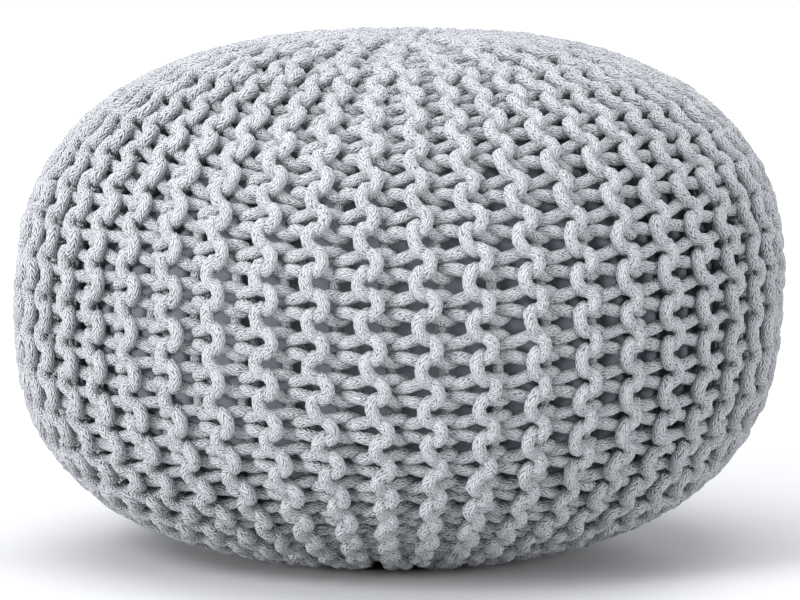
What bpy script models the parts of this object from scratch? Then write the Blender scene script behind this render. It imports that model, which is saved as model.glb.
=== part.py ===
"""Round knitted pouf: a thick garter-stitch cover, drawn together at both poles, over a filled casing.

Metres, +Z up. The origin is on the floor under the middle of the pouf, and the front faces -Y.
"""

import math

import bmesh
import bpy
import numpy as np

# Body, over the ribs
WIDTH = 0.500
CROWN_RISE = 0.169
BASE_DROP = 0.170
BASE_ROUND = 0.174
CROWN_SQUARENESS = 2.5
BASE_SQUARENESS = 2.6
LEAN = 0.035

# Cover: garter-stitch ribs that run from pole to pole and end in pairs towards each pole
RIBS = 48
RIBS_NEAR_POLE = 24
RIBS_AT_POLE = 12
PAIRS_END_RADIUS = 0.125
LAST_PAIRS_END_RADIUS = 0.062
RIB_DEPTH = 0.009
RIB_SWAY = 0.005
HALF_STITCH = 0.013
KNIT_THICKNESS = 0.024
PRESSED_KNIT = 0.022
FADE_ABOVE_FLOOR = 0.020

# Gathered holes where the knit is drawn together
GATHER_RADIUS = 0.014
GATHER_DIP = 0.004
GATHER_SPREAD = 0.040

# Casing
CASING_GAP = 0.0003
CASING_BANDS = 20
CASING_SIDES = 48

# Fineness of the curve that the bands are spaced along
CURVE_STEPS = 720

COVER_COLOUR = (0.50, 0.52, 0.56, 1.0)
COVER_ROUGHNESS = 0.92
CASING_COLOUR = (0.20, 0.21, 0.24, 1.0)
CASING_ROUGHNESS = 0.85


def clear_scene():
    for old in list(bpy.data.objects):
        bpy.data.objects.remove(old, do_unlink=True)


def cloth_material(name, colour, roughness):
    material = bpy.data.materials.new(name)
    material.use_nodes = True
    shader = material.node_tree.nodes["Principled BSDF"]
    shader.inputs["Base Color"].default_value = colour
    shader.inputs["Roughness"].default_value = roughness
    shader.inputs["Metallic"].default_value = 0.0
    material.diffuse_color = colour
    return material


def side_curve(inset, floor):
    """Points (r, z) down one side, from the crown to the underside, inset and never lower than floor."""
    points = []
    for step in range(CURVE_STEPS + 1):
        turn = math.pi * step / CURVE_STEPS
        upper = turn < math.pi / 2
        power = 2 / (CROWN_SQUARENESS if upper else BASE_SQUARENESS)
        height = (CROWN_RISE if upper else BASE_ROUND) - inset
        r = (WIDTH / 2 - inset) * math.sin(turn) ** power
        z = BASE_DROP + math.copysign(height * abs(math.cos(turn)) ** power, math.cos(turn))
        if upper:
            z -= GATHER_DIP * math.exp(-((r / GATHER_SPREAD) ** 2))
        points.append((r, max(z, floor)))
    return np.array(points)


def spaced_bands(curve, bands=None, spacing=None):
    """(r, z) points evenly spaced along the curve, from one gathered hole to the other."""
    outside = curve[curve[:, 0] > GATHER_RADIUS]
    first = (GATHER_RADIUS, outside[0, 1])
    last = (GATHER_RADIUS, outside[-1, 1])
    trimmed = np.vstack([first, outside, last])
    steps = np.linalg.norm(np.diff(trimmed, axis=0), axis=1)
    along = np.concatenate([[0.0], np.cumsum(steps)])
    if bands is None:
        bands = round(along[-1] / spacing)
    wanted = np.linspace(0.0, along[-1], bands + 1)
    return np.column_stack([np.interp(wanted, along, trimmed[:, axis]) for axis in (0, 1)])


def outward(bands, k):
    """The outward normal (r, z) of the curve at band k."""
    before = bands[max(k - 1, 0)]
    after = bands[min(k + 1, len(bands) - 1)]
    run = after - before
    length = math.hypot(run[0], run[1])
    return -run[1] / length, run[0] / length


def place(bm, r, z, angle):
    """A vertex on the pouf, with the slight lean of its axis."""
    x = r * math.cos(angle) + LEAN * (z - BASE_DROP)
    return bm.verts.new((x, r * math.sin(angle), z))


def smooth_ring(bm, r, z):
    return [place(bm, r, z, 2 * math.pi * side / CASING_SIDES) for side in range(CASING_SIDES)]


def ribs_at(r):
    if r > PAIRS_END_RADIUS:
        return RIBS
    if r > LAST_PAIRS_END_RADIUS:
        return RIBS_NEAR_POLE
    return RIBS_AT_POLE


def ribbed_ring(bm, bands, k):
    """One ring of valleys and crests. The crests sway to and fro from ring to ring, as the stitches do."""
    r, z = bands[k]
    normal_r, normal_z = outward(bands, k)
    ribs = ribs_at(r)
    pitch = 2 * math.pi / ribs
    depth = RIB_DEPTH * min(1.0, z / FADE_ABOVE_FLOOR, r / LAST_PAIRS_END_RADIUS)
    sway = min(RIB_SWAY / r, pitch / 5) * (1 if k % 2 == 0 else -1)
    ring = []
    for rib in range(ribs):
        ring.append(place(bm, r - depth * normal_r, z - depth * normal_z, rib * pitch))
        ring.append(place(bm, r, z, (rib + 0.5) * pitch + sway))
    return ring


def fill_field(bm, top_left, low_left, low_right, top_right):
    """A four-sided field in two triangles, split along its shorter diagonal."""
    falling = (top_left.co - low_right.co).length
    rising = (low_left.co - top_right.co).length
    if falling <= rising:
        bm.faces.new((top_left, low_left, low_right))
        bm.faces.new((top_left, low_right, top_right))
    else:
        bm.faces.new((top_left, low_left, top_right))
        bm.faces.new((low_left, low_right, top_right))


def fill_band(bm, upper, lower):
    """Fills the band between two rings. Where they differ, it steps along whichever ring is behind."""
    if len(upper) == len(lower):
        for side, (here, below) in enumerate(zip(upper, lower)):
            following = (side + 1) % len(upper)
            fill_field(bm, here, below, lower[following], upper[following])
        return
    i, j = 0, 0
    while i < len(upper) or j < len(lower):
        here = upper[i % len(upper)]
        below = lower[j % len(lower)]
        upper_is_behind = (i + 1) * len(lower) <= (j + 1) * len(upper)
        if j == len(lower) or (i < len(upper) and upper_is_behind):
            i += 1
            bm.faces.new((here, below, upper[i % len(upper)]))
        else:
            j += 1
            bm.faces.new((here, below, lower[j % len(lower)]))


def finish_object(bm, name, material):
    mesh = bpy.data.meshes.new(name)
    bm.to_mesh(mesh)
    bm.free()
    mesh.materials.append(material)
    piece = bpy.data.objects.new(name, mesh)
    bpy.context.scene.collection.objects.link(piece)
    return piece


def make_cover():
    """The knitted cover, with its ribs outside, its smooth back inside and a gathered hole at each pole."""
    bm = bmesh.new()
    outside = spaced_bands(side_curve(0.0, 0.0), spacing=HALF_STITCH)
    inside = spaced_bands(side_curve(KNIT_THICKNESS, PRESSED_KNIT), bands=CASING_BANDS)
    rings = [ribbed_ring(bm, outside, k) for k in range(len(outside))]
    rings += [smooth_ring(bm, r, z) for r, z in inside[::-1]]
    for upper, lower in zip(rings, rings[1:] + rings[:1]):
        fill_band(bm, upper, lower)
    colour = cloth_material("knit_cord", COVER_COLOUR, COVER_ROUGHNESS)
    return finish_object(bm, "knit_cover", colour)


def make_casing():
    """The filled casing that shows between the stitches, with a flat underside."""
    bm = bmesh.new()
    curve = side_curve(KNIT_THICKNESS + CASING_GAP, PRESSED_KNIT + CASING_GAP)
    rings = [smooth_ring(bm, r, z) for r, z in spaced_bands(curve, bands=CASING_BANDS)]
    rings = [[place(bm, 0.0, curve[0, 1], 0.0)]] + rings + [[place(bm, 0.0, curve[-1, 1], 0.0)]]
    for upper, lower in zip(rings[1:], rings[2:-1]):
        fill_band(bm, upper, lower)
    for ring, pole, flipped in ((rings[1], rings[0][0], False), (rings[-2], rings[-1][0], True)):
        for here, following in zip(ring, ring[1:] + ring[:1]):
            bm.faces.new((pole, following, here) if flipped else (pole, here, following))
    colour = cloth_material("casing_cloth", CASING_COLOUR, CASING_ROUGHNESS)
    casing = finish_object(bm, "inner_casing", colour)
    casing.data.shade_smooth()
    return casing


clear_scene()
make_cover()
make_casing()
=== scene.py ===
"""Looks of the round knitted pouf: real stitches of knitted cord over a filled casing, on a pale floor."""

import math

import bpy
import numpy as np
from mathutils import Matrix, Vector


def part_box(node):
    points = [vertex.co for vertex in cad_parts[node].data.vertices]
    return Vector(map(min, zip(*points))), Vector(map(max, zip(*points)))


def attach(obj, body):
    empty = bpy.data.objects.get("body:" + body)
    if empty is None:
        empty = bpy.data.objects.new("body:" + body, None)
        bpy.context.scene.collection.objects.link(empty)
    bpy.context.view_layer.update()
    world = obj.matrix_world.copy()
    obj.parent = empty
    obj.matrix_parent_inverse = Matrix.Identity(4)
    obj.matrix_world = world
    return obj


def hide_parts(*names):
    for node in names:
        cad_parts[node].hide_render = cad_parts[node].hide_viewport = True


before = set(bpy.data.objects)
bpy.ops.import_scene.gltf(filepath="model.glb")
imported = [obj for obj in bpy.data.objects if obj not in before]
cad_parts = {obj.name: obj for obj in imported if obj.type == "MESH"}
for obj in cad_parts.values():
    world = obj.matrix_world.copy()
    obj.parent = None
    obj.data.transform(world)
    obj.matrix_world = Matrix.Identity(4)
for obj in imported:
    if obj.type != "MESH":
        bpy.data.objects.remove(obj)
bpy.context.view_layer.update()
cover_low, cover_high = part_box("knit_cover")

# Body, over the ribs, in metres
RADIUS = (cover_high[0] - cover_low[0]) / 2
EQUATOR = 0.170
CROWN_RISE = 0.169
BASE_ROUND = 0.174
CROWN_SQUARENESS = 2.5
BASE_SQUARENESS = 2.6
LEAN = 0.035
GATHER_DIP = 0.004
GATHER_SPREAD = 0.040
KNIT_THICKNESS = 0.024
PRESSED_KNIT = 0.022
CASING_GAP = 0.0003
CURVE_STEPS = 1440

# Ribs, each a knit row and a purl row of one cord. Three in each wedge of four end before the poles,
# where they taper. The taper and its margin are in stitches
RIBS = 48
RIBS_IN_WEDGE = 4
WEDGES_IN_PIECE = 2
FRONT_RIB_ANGLE = math.radians(-95.6)
FRONT = math.radians(-90)
WIDER_AT_FRONT = 0.042
TWIST = 0.33
POLE_END_RADIUS = 0.024
MIDDLE_END_RADIUS = 0.062
SIDE_END_RADIUS = 0.125
TAPER_STITCHES = 2.4
TAPER_MARGIN = 0.6
NARROWEST = 0.4

# Stitches. A swing is how far a loop stands out from the middle of the knit
STITCH = 0.0263
FIRST_STITCH = 0.010
SWING = 0.0067
LEAD_IN = -0.70
LEAD_IN_DEPTH = -0.2
TUCK = 1.2
POLE_MARGIN = 0.004
SEED = 11

# How far each stitch strays: down in stitches, across in ribs, out in swings, and its width and swing
# as shares of themselves
DOWN_JITTER = 0.028
WIDTH_JITTER = 0.05
ACROSS_JITTER = 0.018
SWING_JITTER = 0.03
OUT_JITTER = 0.05

# Slow drift of the stitches, as (metres, waves round, turn along a metre, start)
DRIFT_DOWN = ((0.0016, 3, 14, 0.7), (0.0010, 7, -23, 2.1))
DRIFT_ACROSS = ((0.0012, 3, 19, 4.0), (0.0007, 8, 31, 1.3))
LEAST_DRIFT_RADIUS = 0.06

# Cord, thinner where the knit is taut, fuller where it is slack at the crown or pressed on the floor
CORD = 0.0086
ARM_THINNING = 0.07
BACK_THINNING = 0.16
ARM_BELOW = 0.9
BACK_BELOW = -0.3
THINNING_SPAN = 0.6
SLACK_RADIUS = 0.26
SLACK_SWELLING = 0.14
SLACK_SWING = 0.44
PRESSED_BELOW = 0.060
PRESSED_SWELLING = 0.09
PRESSED_SWING = 0.30
LOWEST = 0.63

# Surface of the cord: a slight wobble of its thickness and a slow twist of its strands
WOBBLE_WAVE = 0.03
WOBBLE_PER_METRE = 410
WOBBLE_NOISE = 0.02
CORD_TWIST = 4.0
TWIST_WANDER = 0.35
WANDER_PER_METRE = 37
LARGEST_START = 6
END_ROUNDING = 0.5
CORD_SIDES = 8
CORD_STEP = 0.0036
SPLINE_STEPS = 6
MAP_GAP = 3.7

# Cord that draws the ends of the ribs together, in a little more than one turn
GATHER_RADIUS = 0.0125
GATHER_TURN = 2.08 * math.pi
GATHER_START = 2.0
GATHER_POINTS = 34
GATHER_WAVE = 0.25
GATHER_WAVES = 6
GATHER_END_DEPTH = -0.8

# One stitch of a knit row and of a purl row, as (down, across, out): down the rib in stitches, across in
# ribs, and out from the middle of the knit in swings
KNIT_STITCH = (
    (-0.360, -0.430, -1.00),
    (-0.160, -0.430, -1.00),
    (-0.065, -0.400, -0.90),
    (-0.056, -0.335, -0.62),
    (-0.078, -0.260, -0.34),
    (-0.122, -0.140, -0.10),
    (-0.190, 0.045, -0.02),
    (-0.258, 0.170, 0.08),
    (-0.258, 0.290, 0.56),
    (-0.175, 0.400, 0.97),
    (-0.045, 0.448, 1.00),
    (0.090, 0.435, 1.00),
    (0.200, 0.375, 0.94),
    (0.286, 0.280, 0.56),
    (0.318, 0.165, 0.04),
    (0.286, 0.040, -0.06),
    (0.232, -0.120, -0.08),
    (0.210, -0.255, -0.32),
    (0.242, -0.350, -0.66),
    (0.300, -0.420, -0.92),
)
PURL_STITCH = (
    (-0.540, -0.392, 1.00),
    (-0.420, -0.376, 1.00),
    (-0.310, -0.320, 0.97),
    (-0.225, -0.225, 0.60),
    (-0.205, -0.115, 0.04),
    (-0.235, 0.035, -0.16),
    (-0.225, 0.165, -0.40),
    (-0.178, 0.280, -0.70),
    (-0.095, 0.365, -0.97),
    (0.020, 0.415, -1.00),
    (0.160, 0.420, -1.02),
    (0.290, 0.385, -1.00),
    (0.370, 0.290, -0.86),
    (0.390, 0.160, -0.58),
    (0.335, 0.025, -0.36),
    (0.235, -0.120, -0.10),
    (0.178, -0.225, 0.52),
    (0.235, -0.324, 0.95),
    (0.345, -0.378, 1.00),
)

# Camera: a long lens a little above level
CAMERA_DISTANCE = 3.25
CAMERA_ELEVATION = math.radians(6.7)
CAMERA_LENS = 225.0
CAMERA_SENSOR = 36.0
CAMERA_REACH = 100.0
CAMERA_AIM = Vector((0.0006, 0.0, 0.1632))

rng = np.random.default_rng(SEED)


class Side:
    """The side curve of the body, by the distance along it from the crown."""

    def __init__(self):
        turn = np.linspace(0.0, math.pi, CURVE_STEPS + 1)
        upper = turn < math.pi / 2
        power = 2 / np.where(upper, CROWN_SQUARENESS, BASE_SQUARENESS)
        rise = np.where(upper, CROWN_RISE, BASE_ROUND)
        level = np.cos(turn)
        self.r = RADIUS * np.clip(np.sin(turn), 0.0, 1.0) ** power
        z = EQUATOR + np.sign(level) * rise * np.abs(level) ** power
        z -= np.where(upper, GATHER_DIP * np.exp(-((self.r / GATHER_SPREAD) ** 2)), 0.0)
        self.z = np.maximum(z, 0.0)
        run = np.hypot(np.diff(self.r), np.diff(self.z))
        self.along = np.concatenate([[0.0], np.cumsum(run)])
        slope_r = np.gradient(self.r, self.along)
        slope_z = np.gradient(self.z, self.along)
        length = np.hypot(slope_r, slope_z)
        self.out_r = -slope_z / length
        self.out_z = slope_r / length
        self.length = self.along[-1]
        self.equator = self.along[CURVE_STEPS // 2]

    def at(self, along):
        """Radius, height and outward normal at these distances from the crown."""
        return [np.interp(along, self.along, v) for v in (self.r, self.z, self.out_r, self.out_z)]

    def crown_distance(self, radius):
        """How far from the crown the upper side has this radius."""
        half = len(self.r) // 2
        return float(np.interp(radius, self.r[:half], self.along[:half]))

    def base_distance(self, radius):
        """How far from the crown the underside has this radius."""
        half = len(self.r) // 2
        return float(np.interp(radius, self.r[:half:-1], self.along[:half:-1]))


side = Side()


def end_radius(rib):
    """Where a rib ends: one in each wedge reaches the gathered holes, and the others stop short."""
    place = rib % RIBS_IN_WEDGE
    if place == 0:
        return POLE_END_RADIUS
    return MIDDLE_END_RADIUS if place == 2 else SIDE_END_RADIUS


def smooth_step(x):
    """Eases from 0 to 1 as x goes from 0 to 1."""
    x = np.clip(x, 0.0, 1.0)
    return x * x * (3 - 2 * x)


def rib_share(rib, along):
    """The share of a full rib's width that this rib takes up, at these distances from the crown."""
    if rib % RIBS_IN_WEDGE == 0:
        return np.ones_like(along)
    start = side.crown_distance(end_radius(rib)) - TAPER_MARGIN * STITCH
    end = side.base_distance(end_radius(rib)) + TAPER_MARGIN * STITCH
    taper = TAPER_STITCHES * STITCH
    return smooth_step((along - start) / taper) * smooth_step((end - along) / taper)


def rib_angles(rib, shift, along):
    """A rib line's angle, moved on by shift ribs, one full rib's angle, and this rib's share of it."""
    shares = [rib_share(place, along) for place in range(RIBS_IN_WEDGE)]
    wedge = sum(shares)
    place = rib % RIBS_IN_WEDGE
    before = sum(shares[:place]) + shares[place] * (0.5 + shift) - shares[0] / 2
    wedge_angle = 2 * math.pi * RIBS_IN_WEDGE / RIBS
    angle = FRONT_RIB_ANGLE + wedge_angle * (rib // RIBS_IN_WEDGE + before / wedge)
    angle = angle + WIDER_AT_FRONT * np.sin(angle - FRONT) + TWIST * (along - side.equator)
    return angle, wedge_angle / wedge, shares[place]


def slow_drift(waves, angle, along):
    """How far these waves move the stitches here, in metres."""
    total = 0.0
    for size, round_waves, along_waves, start in waves:
        total = total + size * np.sin(round_waves * angle + along_waves * along + start)
    return total


def row_points(rib, table, shift):
    """Centreline points of one row of stitches from crown to underside."""
    first = side.crown_distance(end_radius(rib))
    last = side.base_distance(end_radius(rib))
    first_stitch = math.ceil((first - FIRST_STITCH) / STITCH)
    last_stitch = math.floor((last - FIRST_STITCH) / STITCH)
    shape = np.array(table)
    down, across, out = [], [], []
    for number in range(first_stitch, last_stitch + 1):
        slide, widen, sideways, swing, lift = rng.normal(0.0, 1.0, 5)
        down.append(number + shape[:, 0] + DOWN_JITTER * slide)
        across.append(shape[:, 1] * (1 + WIDTH_JITTER * widen) + ACROSS_JITTER * sideways)
        out.append(shape[:, 2] * (1 + SWING_JITTER * swing) + OUT_JITTER * lift)
    down.append([last_stitch + 1 + shape[0, 0]])
    across.append([shape[0, 1]])
    out.append([shape[0, 2]])
    if end_radius(rib) == POLE_END_RADIUS:
        down.insert(0, [first_stitch + LEAD_IN])
        across.insert(0, [0.0])
        out.insert(0, [LEAD_IN_DEPTH])
    down, across, out = (np.concatenate(values) for values in (down, across, out))
    along = FIRST_STITCH + STITCH * down
    angle, rib_angle, share = rib_angles(rib, shift, along)
    angle = angle + across * rib_angle * (NARROWEST + (1 - NARROWEST) * share)
    return place_points(along, angle, out)


def place_points(along, angle, out):
    """Points of a cord, as x, y, z and its share of the full thickness, and the outward normals there."""
    drift_down = slow_drift(DRIFT_DOWN, angle, along)
    drift_across = slow_drift(DRIFT_ACROSS, angle, along)
    along = np.clip(along + drift_down, POLE_MARGIN, side.length - POLE_MARGIN)
    r, z, out_r, out_z = side.at(along)
    angle = angle + drift_across / np.maximum(r, LEAST_DRIFT_RADIUS)
    pressed = smooth_step((PRESSED_BELOW - z) / PRESSED_BELOW)
    slack = smooth_step((SLACK_RADIUS - r) / SLACK_RADIUS) * (z > EQUATOR)
    depth = CORD / 2 + SWING * (1 - out) * (1 - SLACK_SWING * slack - PRESSED_SWING * pressed)
    r = r - depth * out_r
    z = np.maximum(z - depth * out_z, LOWEST * CORD)
    x = r * np.cos(angle) + LEAN * (z - EQUATOR)
    arm = smooth_step((ARM_BELOW - out) / THINNING_SPAN)
    back = smooth_step((BACK_BELOW - out) / THINNING_SPAN)
    taut = ARM_THINNING * arm + BACK_THINNING * back
    thickness = 1 + SLACK_SWELLING * slack + PRESSED_SWELLING * pressed
    thickness = thickness - taut * (1 - slack) * (1 - pressed)
    normal = np.column_stack([out_r * np.cos(angle), out_r * np.sin(angle), out_z])
    return np.column_stack([x, r * np.sin(angle), z, thickness]), normal


def rib_path(rib):
    """The cord of one rib: its knit row down from the crown, then its purl row back up, ends tucked in."""
    knit, knit_out = row_points(rib, KNIT_STITCH, 0.0)
    purl, purl_out = row_points(rib, PURL_STITCH, 0.5)
    points = np.vstack([knit, purl[::-1]])
    out = np.vstack([knit_out, purl_out[::-1]])
    ends = points[[0, -1]].copy()
    ends[:, :3] -= TUCK * CORD * out[[0, -1]]
    return np.vstack([ends[0], points, ends[1]]), np.vstack([out[0], out, out[-1]])


def gather_path(along):
    """The cord that draws the ends of the ribs together round a pole."""
    turn = np.linspace(0.0, GATHER_TURN, GATHER_POINTS)
    out = GATHER_WAVE * np.sin(GATHER_WAVES * turn)
    out[[0, -1]] = GATHER_END_DEPTH
    return place_points(np.full_like(turn, along), turn + GATHER_START, out)


def spline(points):
    """Smooth curve through the points."""
    ends = np.vstack([2 * points[0] - points[1], points, 2 * points[-1] - points[-2]])
    a, b, c, d = ends[:-3], ends[1:-2], ends[2:-1], ends[3:]
    t = np.linspace(0.0, 1.0, SPLINE_STEPS, endpoint=False)[None, :, None]
    a, b, c, d = (v[:, None, :] for v in (a, b, c, d))
    curve = 0.5 * (2 * b + (c - a) * t + (2 * a - 5 * b + 4 * c - d) * t**2 + (3 * b - a - 3 * c + d) * t**3)
    return np.vstack([curve.reshape(-1, points.shape[1]), points[-1]])


def even_spacing(curve, normals, step):
    """The curve in even steps, with its normals and the distance along it."""
    run = np.linalg.norm(np.diff(curve[:, :3], axis=0), axis=1)
    along = np.concatenate([[0.0], np.cumsum(run)])
    wanted = np.linspace(0.0, along[-1], int(along[-1] / step) + 1)
    points = np.column_stack([np.interp(wanted, along, curve[:, k]) for k in range(4)])
    out = np.column_stack([np.interp(wanted, along, normals[:, k]) for k in range(3)])
    return points, out, wanted


def quad_corners(low, high):
    """Values at the corners of the quads between rings: low on one side of each quad, high on the other."""
    return np.stack([low[:-1], low[1:], high[1:], high[:-1]], axis=2).reshape(-1)


def ring_quads(rings, sides):
    """Vertex numbers of the quads between rings, and of each ring."""
    index = np.arange(rings * sides).reshape(rings, sides)
    return quad_corners(index, np.roll(index, -1, axis=1)).reshape(-1, 4), index


def mesh_piece(name, verts, faces, map_name, coords):
    """A smooth piece in the scene, with map coordinates for the corners of its quads, which come first."""
    mesh = bpy.data.meshes.new(name)
    mesh.from_pydata(verts.tolist(), [], faces)
    layer = mesh.uv_layers.new(name=map_name)
    uv = np.zeros((len(mesh.loops), 2), np.float32)
    uv[: len(coords)] = coords
    layer.uv.foreach_set("vector", uv.ravel())
    mesh.shade_smooth()
    mesh.update()
    piece = bpy.data.objects.new(name, mesh)
    bpy.context.scene.collection.objects.link(piece)
    return piece


def tube(points, out, along):
    """Ring vertices round a centreline, quads between the rings, and the cord's own map coordinates."""
    thickness = points[:, 3]
    points = points[:, :3]
    tangent = np.gradient(points, axis=0)
    tangent /= np.linalg.norm(tangent, axis=1)[:, None]
    across = np.cross(tangent, out)
    across /= np.linalg.norm(across, axis=1)[:, None]
    up = np.cross(across, tangent)
    wave = np.sin(along * WOBBLE_PER_METRE + rng.uniform(0, LARGEST_START))
    wobble = 1 + WOBBLE_WAVE * wave + WOBBLE_NOISE * rng.normal(0, 1, len(points))
    radius = CORD / 2 * wobble * thickness
    radius[[0, -1]] *= END_ROUNDING
    turn = 2 * math.pi * np.arange(CORD_SIDES) / CORD_SIDES
    ring = np.cos(turn)[None, :, None] * up[:, None, :] + np.sin(turn)[None, :, None] * across[:, None, :]
    verts = points[:, None, :] + radius[:, None, None] * ring
    quads, index = ring_quads(len(points), CORD_SIDES)
    wander = np.sin(along * WANDER_PER_METRE + rng.uniform(0, LARGEST_START))
    twist = CORD_TWIST * along + TWIST_WANDER * wander
    low = twist[:, None] + np.arange(CORD_SIDES)[None, :] / CORD_SIDES
    high = low + 1 / CORD_SIDES
    length = np.repeat(along[:, None], CORD_SIDES, axis=1)
    coords = np.column_stack([quad_corners(length, length), quad_corners(low, high)])
    ends = (index[0], index[-1][::-1])
    return verts.reshape(-1, 3), quads, coords, ends


def cord_piece(name, paths):
    """One piece that holds several lengths of cord."""
    verts, quads, coords, caps, base = [], [], [], [], 0
    for number, (path, normals) in enumerate(paths):
        curve, curve_out = spline(path), spline(normals)
        points, out, along = even_spacing(curve, curve_out, CORD_STEP)
        tube_verts, tube_quads, tube_coords, ends = tube(points, out, along)
        verts.append(tube_verts)
        quads.append(tube_quads + base)
        coords.append(tube_coords + [number * MAP_GAP, 0.0])
        caps += [end + base for end in ends]
        base += len(tube_verts)
    faces = np.vstack(quads).tolist() + [cap.tolist() for cap in caps]
    return mesh_piece(name, np.vstack(verts), faces, "cord", np.vstack(coords))


class Nodes:
    """Short helpers for a material's nodes."""

    def __init__(self, name):
        self.material = bpy.data.materials.new(name)
        self.material.use_nodes = True
        self.tree = self.material.node_tree
        self.shader = self.tree.nodes["Principled BSDF"]

    def feed(self, socket, value):
        if isinstance(value, bpy.types.NodeSocket):
            self.tree.links.new(value, socket)
        else:
            socket.default_value = value

    def math(self, operation, *values):
        node = self.tree.nodes.new("ShaderNodeMath")
        node.operation = operation
        for socket, value in zip(node.inputs, values):
            self.feed(socket, value)
        return node.outputs[0]

    def noise(self, vector, scale, detail=2.0, roughness=0.5):
        node = self.tree.nodes.new("ShaderNodeTexNoise")
        self.feed(node.inputs["Vector"], vector)
        node.inputs["Scale"].default_value = scale
        node.inputs["Detail"].default_value = detail
        node.inputs["Roughness"].default_value = roughness
        return node.outputs["Fac"]

    def span(self, value, low, high, to_low=0.0, to_high=1.0):
        node = self.tree.nodes.new("ShaderNodeMapRange")
        for socket, given in zip(node.inputs, (value, low, high, to_low, to_high)):
            self.feed(socket, given)
        return node.outputs[0]

    def mix(self, share, first, second):
        node = self.tree.nodes.new("ShaderNodeMix")
        node.data_type = "RGBA"
        self.feed(node.inputs["Factor"], share)
        self.feed(node.inputs["A"], first)
        self.feed(node.inputs["B"], second)
        return node.outputs["Result"]

    def bump(self, height, distance):
        node = self.tree.nodes.new("ShaderNodeBump")
        node.inputs["Strength"].default_value = 1.0
        node.inputs["Distance"].default_value = distance
        self.feed(node.inputs["Height"], height)
        self.feed(self.shader.inputs["Normal"], node.outputs["Normal"])


# Knitted cord: columns of slanted strands that meet in a V. Each scale is in cells to the metre,
# and each span is (from low, from high, to low, to high)
STRAND = 0.0031
WALES = 6
SLANT = 1.1
WALE_DRIFT_SCALE = 110.0
STRAY = 0.9
STRAY_SCALE = 260.0
STRAND_FULLNESS = 0.6
COLUMN_RELIEF = 0.4
# Painted shade: the grooves between the strands are painted darker, broken up in random patches
SHADE_PATCH_SCALE = 380.0
SHADE_PATCH_SPAN = (0.40, 0.58, 0.0, 0.45)
GROOVE_SHADE_SPAN = (0.24, 0.64)
TINT_SCALE = 14.0
TINT_SPAN = (0.3, 0.7, 0.94, 1.04)
GRAIN_SCALE = 640.0
GRAIN_SPAN = (0.34, 0.66, 0.90, 1.02)
STRAND_RELIEF = 0.0012
CORD_LIGHT = (0.438, 0.451, 0.477, 1.0)
# The cord's own colour, and the darker colour that is painted shade in its grooves
CORD_PAINTED_SHADE = (0.120, 0.127, 0.146, 1.0)


def cord_material():
    """Soft cord, with painted shade in the grooves between its strands."""
    n = Nodes("knit_cord")
    coords = n.tree.nodes.new("ShaderNodeUVMap")
    coords.uv_map = "cord"
    parts = n.tree.nodes.new("ShaderNodeSeparateXYZ")
    n.feed(parts.inputs[0], coords.outputs[0])
    length, around = parts.outputs[0], parts.outputs[1]
    place = n.tree.nodes.new("ShaderNodeTexCoord").outputs["Object"]
    drift = n.noise(place, WALE_DRIFT_SCALE)
    stray = n.noise(place, STRAY_SCALE)
    wale = n.math("MULTIPLY_ADD", around, WALES, drift)
    across = n.math("ABSOLUTE", n.math("MULTIPLY_ADD", n.math("FRACT", wale), 2.0, -1.0))
    run = n.math("MULTIPLY_ADD", across, SLANT, n.math("DIVIDE", length, STRAND))
    run = n.math("MULTIPLY_ADD", stray, STRAY, run)
    strand = n.math("ABSOLUTE", n.math("SINE", n.math("MULTIPLY", run, math.pi)))
    column = n.math("SINE", n.math("MULTIPLY", across, math.pi))
    full = n.math("POWER", strand, STRAND_FULLNESS)
    height = n.math("MULTIPLY", full, n.math("MULTIPLY_ADD", column, COLUMN_RELIEF, 1 - COLUMN_RELIEF))
    # Painted shade: darker where the strands dip into grooves, in random patches
    shade_patches = n.span(n.noise(place, SHADE_PATCH_SCALE, 1.0), *SHADE_PATCH_SPAN)
    painted_groove_shade = n.span(n.math("ADD", height, shade_patches), *GROOVE_SHADE_SPAN)
    shade = n.mix(painted_groove_shade, CORD_PAINTED_SHADE, CORD_LIGHT)
    tint = n.span(n.noise(place, TINT_SCALE), *TINT_SPAN)
    grain = n.span(n.noise(place, GRAIN_SCALE, 3.0, 0.7), *GRAIN_SPAN)
    scale = n.tree.nodes.new("ShaderNodeVectorMath")
    scale.operation = "SCALE"
    n.feed(scale.inputs[0], shade)
    n.feed(scale.inputs["Scale"], n.math("MULTIPLY", tint, grain))
    n.feed(n.shader.inputs["Base Color"], scale.outputs[0])
    n.shader.inputs["Roughness"].default_value = 0.95
    n.shader.inputs["Specular IOR Level"].default_value = 0.15
    n.shader.inputs["Sheen Weight"].default_value = 0.2
    n.shader.inputs["Sheen Roughness"].default_value = 0.5
    n.bump(height, STRAND_RELIEF)
    return n.material


# Cloth of the casing: its colour, and a darker colour that is painted shade in the dips of the weave
CASING_COLOUR = (0.32, 0.332, 0.385, 1.0)
CASING_SHADE = (0.265, 0.277, 0.325, 1.0)
THREAD = 0.0006
WEAVE_SHARE = 0.5
SLUB_SCALE = 60.0
CLOTH_RELIEF = 0.0003


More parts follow.
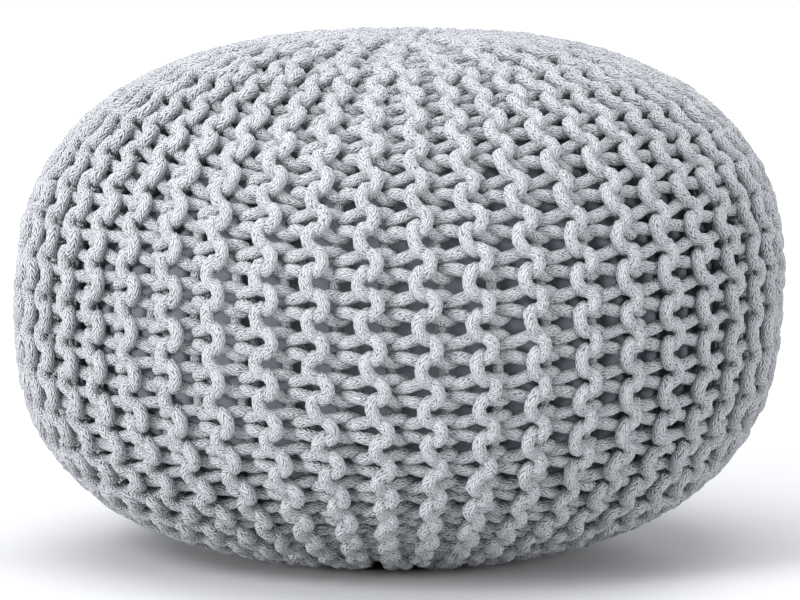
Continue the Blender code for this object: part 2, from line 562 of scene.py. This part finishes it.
def casing_material():
    """Plain woven cloth, with painted shade where the weave dips and random slubs."""
    n = Nodes("casing_cloth")
    place = n.tree.nodes.new("ShaderNodeTexCoord").outputs["UV"]
    parts = n.tree.nodes.new("ShaderNodeSeparateXYZ")
    n.feed(parts.inputs[0], place)
    warp = n.math("SINE", n.math("MULTIPLY", parts.outputs[0], 2 * math.pi / THREAD))
    weft = n.math("SINE", n.math("MULTIPLY", parts.outputs[1], 2 * math.pi / THREAD))
    weave = n.math("MULTIPLY", warp, weft)
    object_place = n.tree.nodes.new("ShaderNodeTexCoord").outputs["Object"]
    slub = n.noise(object_place, SLUB_SCALE, 4.0)
    height = n.math("MULTIPLY_ADD", weave, WEAVE_SHARE, slub)
    # Painted shade: the cloth is darker where the weave dips, and the slubs vary its tone at random
    shade = n.span(height, -0.1, 1.1)
    n.feed(n.shader.inputs["Base Color"], n.mix(shade, CASING_SHADE, CASING_COLOUR))
    n.shader.inputs["Roughness"].default_value = 0.85
    n.shader.inputs["Specular IOR Level"].default_value = 0.2
    n.bump(height, CLOTH_RELIEF)
    return n.material


def make_knit():
    """The knit in pieces two wedges wide, with the gathering cords in the first."""
    material = cord_material()
    ribs_in_piece = RIBS_IN_WEDGE * WEDGES_IN_PIECE
    for number in range(RIBS // ribs_in_piece):
        ribs = range(number * ribs_in_piece, (number + 1) * ribs_in_piece)
        paths = [rib_path(rib) for rib in ribs]
        if number == 0:
            paths.append(gather_path(side.crown_distance(GATHER_RADIUS)))
            paths.append(gather_path(side.base_distance(GATHER_RADIUS)))
        piece = cord_piece(f"knit_{number + 1}", paths)
        piece.data.materials.append(material)
        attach(piece, "root")
        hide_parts("knit_cover")


# Mesh of the casing, and how it swells between the stitches
CASING_SIDES = 144
CASING_BANDS = 72
SWELL = 0.0006
SWELL_PER_METRE = 240


def make_casing():
    """The filled casing under the knit, swollen a little between the ribs."""
    along = np.linspace(0.0, side.length, CASING_BANDS + 1)
    r, z, out_r, out_z = side.at(along)
    depth = KNIT_THICKNESS + CASING_GAP
    turn = 2 * math.pi * np.arange(CASING_SIDES) / CASING_SIDES
    swell = SWELL * np.sin(RIBS * turn)[None, :] * np.sin(along * SWELL_PER_METRE)[:, None]
    ring_r = np.maximum(r - depth * out_r, 0.0)[:, None] + swell * out_r[:, None]
    ring_z = np.maximum(z - depth * out_z, PRESSED_KNIT + CASING_GAP)[:, None] + np.zeros(CASING_SIDES)
    x = ring_r * np.cos(turn) + LEAN * (ring_z - EQUATOR)
    y = ring_r * np.sin(turn)
    verts = np.stack([x, y, ring_z], axis=2)[1:-1].reshape(-1, 3)
    bands = CASING_BANDS - 1
    quads, index = ring_quads(bands, CASING_SIDES)
    faces = quads.tolist() + [index[0].tolist(), index[-1][::-1].tolist()]
    length = np.repeat(along[1:-1, None], CASING_SIDES, axis=1)
    low = turn[None, :] * RADIUS + np.zeros((bands, 1))
    high = low + 2 * math.pi * RADIUS / CASING_SIDES
    coords = np.column_stack([quad_corners(low, high), quad_corners(length, length)])
    casing = mesh_piece("casing", verts, faces, "cloth", coords)
    casing.data.materials.append(casing_material())
    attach(casing, "root")
    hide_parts("inner_casing")


# Pale floor, as bright as its surroundings away from the pouf
FLOOR_REACH = 14.0
FLOOR_COLOUR = (0.60, 0.60, 0.61, 1.0)
GLOW_FROM = 0.45
GLOW_TO = 3.6
GLOW = 0.70


def make_floor():
    """A pale floor that glows more the further it is from the pouf."""
    corners = [(x * FLOOR_REACH, y * FLOOR_REACH, 0.0) for x, y in ((-1, -1), (1, -1), (1, 1), (-1, 1))]
    mesh = bpy.data.meshes.new("floor")
    mesh.from_pydata(corners, [], [(0, 1, 2, 3)])
    floor = bpy.data.objects.new("floor", mesh)
    bpy.context.scene.collection.objects.link(floor)
    n = Nodes("floor")
    away = n.tree.nodes.new("ShaderNodeVectorMath")
    away.operation = "LENGTH"
    n.feed(away.inputs[0], n.tree.nodes.new("ShaderNodeTexCoord").outputs["Object"])
    n.shader.inputs["Base Color"].default_value = FLOOR_COLOUR
    n.shader.inputs["Roughness"].default_value = 0.9
    n.shader.inputs["Emission Color"].default_value = (1.0, 1.0, 1.0, 1.0)
    n.feed(n.shader.inputs["Emission Strength"], n.span(away.outputs["Value"], GLOW_FROM, GLOW_TO, 0.0, GLOW))
    mesh.materials.append(n.material)


# Studio light. Lights are (name, place, size in metres, power in watts) and face the middle of the pouf
WORLD_COLOUR = (0.90, 0.95, 1.0, 1.0)
WORLD_STRENGTH = 0.47
LIGHTS = (
    ("key", (-1.7, -2.2, 1.9), 1.1, 62.0),
    ("top", (-0.2, 0.0, 2.3), 2.8, 70.0),
    ("right", (2.5, -2.3, 0.9), 1.0, 59.0),
    ("left", (-2.7, -2.1, 0.7), 0.8, 88.0),
    ("back", (1.3, 3.2, 1.5), 1.6, 55.0),
)


def area_light(name, place, aim, size, power):
    """A square light at this place that faces the aim."""
    data = bpy.data.lights.new(name, "AREA")
    data.size = size
    data.energy = power
    light = bpy.data.objects.new(name, data)
    light.location = place
    light.rotation_mode = "QUATERNION"
    light.rotation_quaternion = (Vector(aim) - Vector(place)).to_track_quat("-Z", "Y")
    bpy.context.scene.collection.objects.link(light)


def make_light():
    """Pale surroundings and the studio lights."""
    world = bpy.data.worlds.new("studio")
    bpy.context.scene.world = world
    bpy.context.scene.view_settings.view_transform = "Standard"
    world.use_nodes = True
    background = world.node_tree.nodes["Background"]
    background.inputs["Color"].default_value = WORLD_COLOUR
    background.inputs["Strength"].default_value = WORLD_STRENGTH
    for name, place, size, power in LIGHTS:
        area_light(name, place, (0.0, 0.0, EQUATOR), size, power)


def make_camera():
    """The camera at the photograph's viewing angle."""
    data = bpy.data.cameras.new("camera")
    data.lens = CAMERA_LENS
    data.sensor_width = CAMERA_SENSOR
    data.clip_end = CAMERA_REACH
    camera = bpy.data.objects.new("camera", data)
    back = Vector((0.0, -math.cos(CAMERA_ELEVATION), math.sin(CAMERA_ELEVATION)))
    camera.location = CAMERA_AIM + CAMERA_DISTANCE * back
    camera.rotation_mode = "QUATERNION"
    camera.rotation_quaternion = (-back).to_track_quat("-Z", "Y")
    bpy.context.scene.collection.objects.link(camera)
    bpy.context.scene.camera = camera


make_camera()
make_floor()
make_light()
make_knit()
make_casing()
